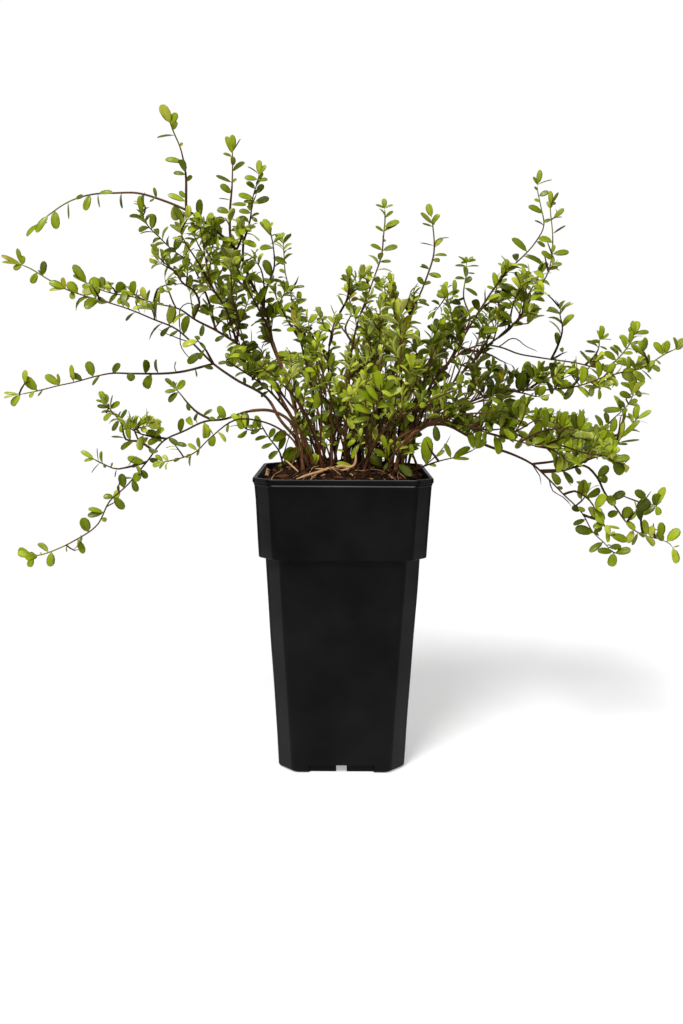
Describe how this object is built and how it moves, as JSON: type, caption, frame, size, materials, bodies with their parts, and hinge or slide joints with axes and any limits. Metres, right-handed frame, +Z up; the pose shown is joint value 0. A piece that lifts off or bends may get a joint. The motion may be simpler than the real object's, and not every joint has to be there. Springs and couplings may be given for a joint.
{
  "type": "potted cranberry plant",
  "caption": "Bushy cranberry plant with fine arching leafy shoots, in a tall square tapered nursery pot with a deep collar.",
  "frame": {"origin": "centre of the pot's footprint at the level the pot stands on, which is also the bottom centre of the whole plant's box", "axes": "+Z up along the pot's axis; +X to the right seen from the front, the side the long low shoots reach furthest; +Y to the back"},
  "size_m": [0.4142, 0.2844, 0.4005],
  "materials": {
    "pot_plastic": "semi-matte moulded charcoal plastic",
    "growing_medium": "dark crumbly bark and peat",
    "bark": "smooth reddish-brown thin bark",
    "leaves": "slightly waxy green leaves on fine twigs"
  },
  "bodies": {
    "root": {"pot": "pot_plastic", "soil": "growing_medium", "stem_left_arch": "bark", "leaves_left_arch": "leaves", "stem_left_long": "bark", "leaves_left_long": "leaves", "stem_left_low": "bark", "leaves_left_low": "leaves", "stem_left_back": "bark", "leaves_left_back": "leaves", "stem_left_thin": "bark", "leaves_left_thin": "leaves", "stem_left_centre": "bark", "leaves_left_centre": "leaves", "stem_centre_tall": "bark", "leaves_centre_tall": "leaves", "stem_centre_front": "bark", "leaves_centre_front": "leaves", "stem_right_centre": "bark", "leaves_right_centre": "leaves", "stem_right_inner": "bark", "leaves_right_inner": "leaves", "stem_right_tall_back": "bark", "leaves_right_tall_back": "leaves", "stem_right_tall": "bark", "leaves_right_tall": "leaves", "stem_right_upper": "bark", "leaves_right_upper": "leaves", "stem_right_long": "bark", "leaves_right_long": "leaves", "stem_right_back": "bark", "leaves_right_back": "leaves", "stem_right_low": "bark", "leaves_right_low": "leaves", "stem_right_front": "bark", "leaves_right_front": "leaves", "stem_back_left": "bark", "leaves_back_left": "leaves", "stem_back_centre": "bark", "leaves_back_centre": "leaves", "stem_back_tall": "bark", "leaves_back_tall": "leaves", "stem_back_right": "bark", "leaves_back_right": "leaves", "stem_back_far_right": "bark", "leaves_back_far_right": "leaves", "stem_front_left": "bark", "leaves_front_left": "leaves", "stem_front_centre_left": "bark", "leaves_front_centre_left": "leaves", "stem_front_centre": "bark", "leaves_front_centre": "leaves", "stem_front_right": "bark", "leaves_front_right": "leaves", "stem_front_far_right": "bark", "leaves_front_far_right": "leaves", "leaves_left_foot": "leaves", "leaves_front_rosette": "leaves", "leaves_right_foot": "leaves"}
  },
  "joints": []
}
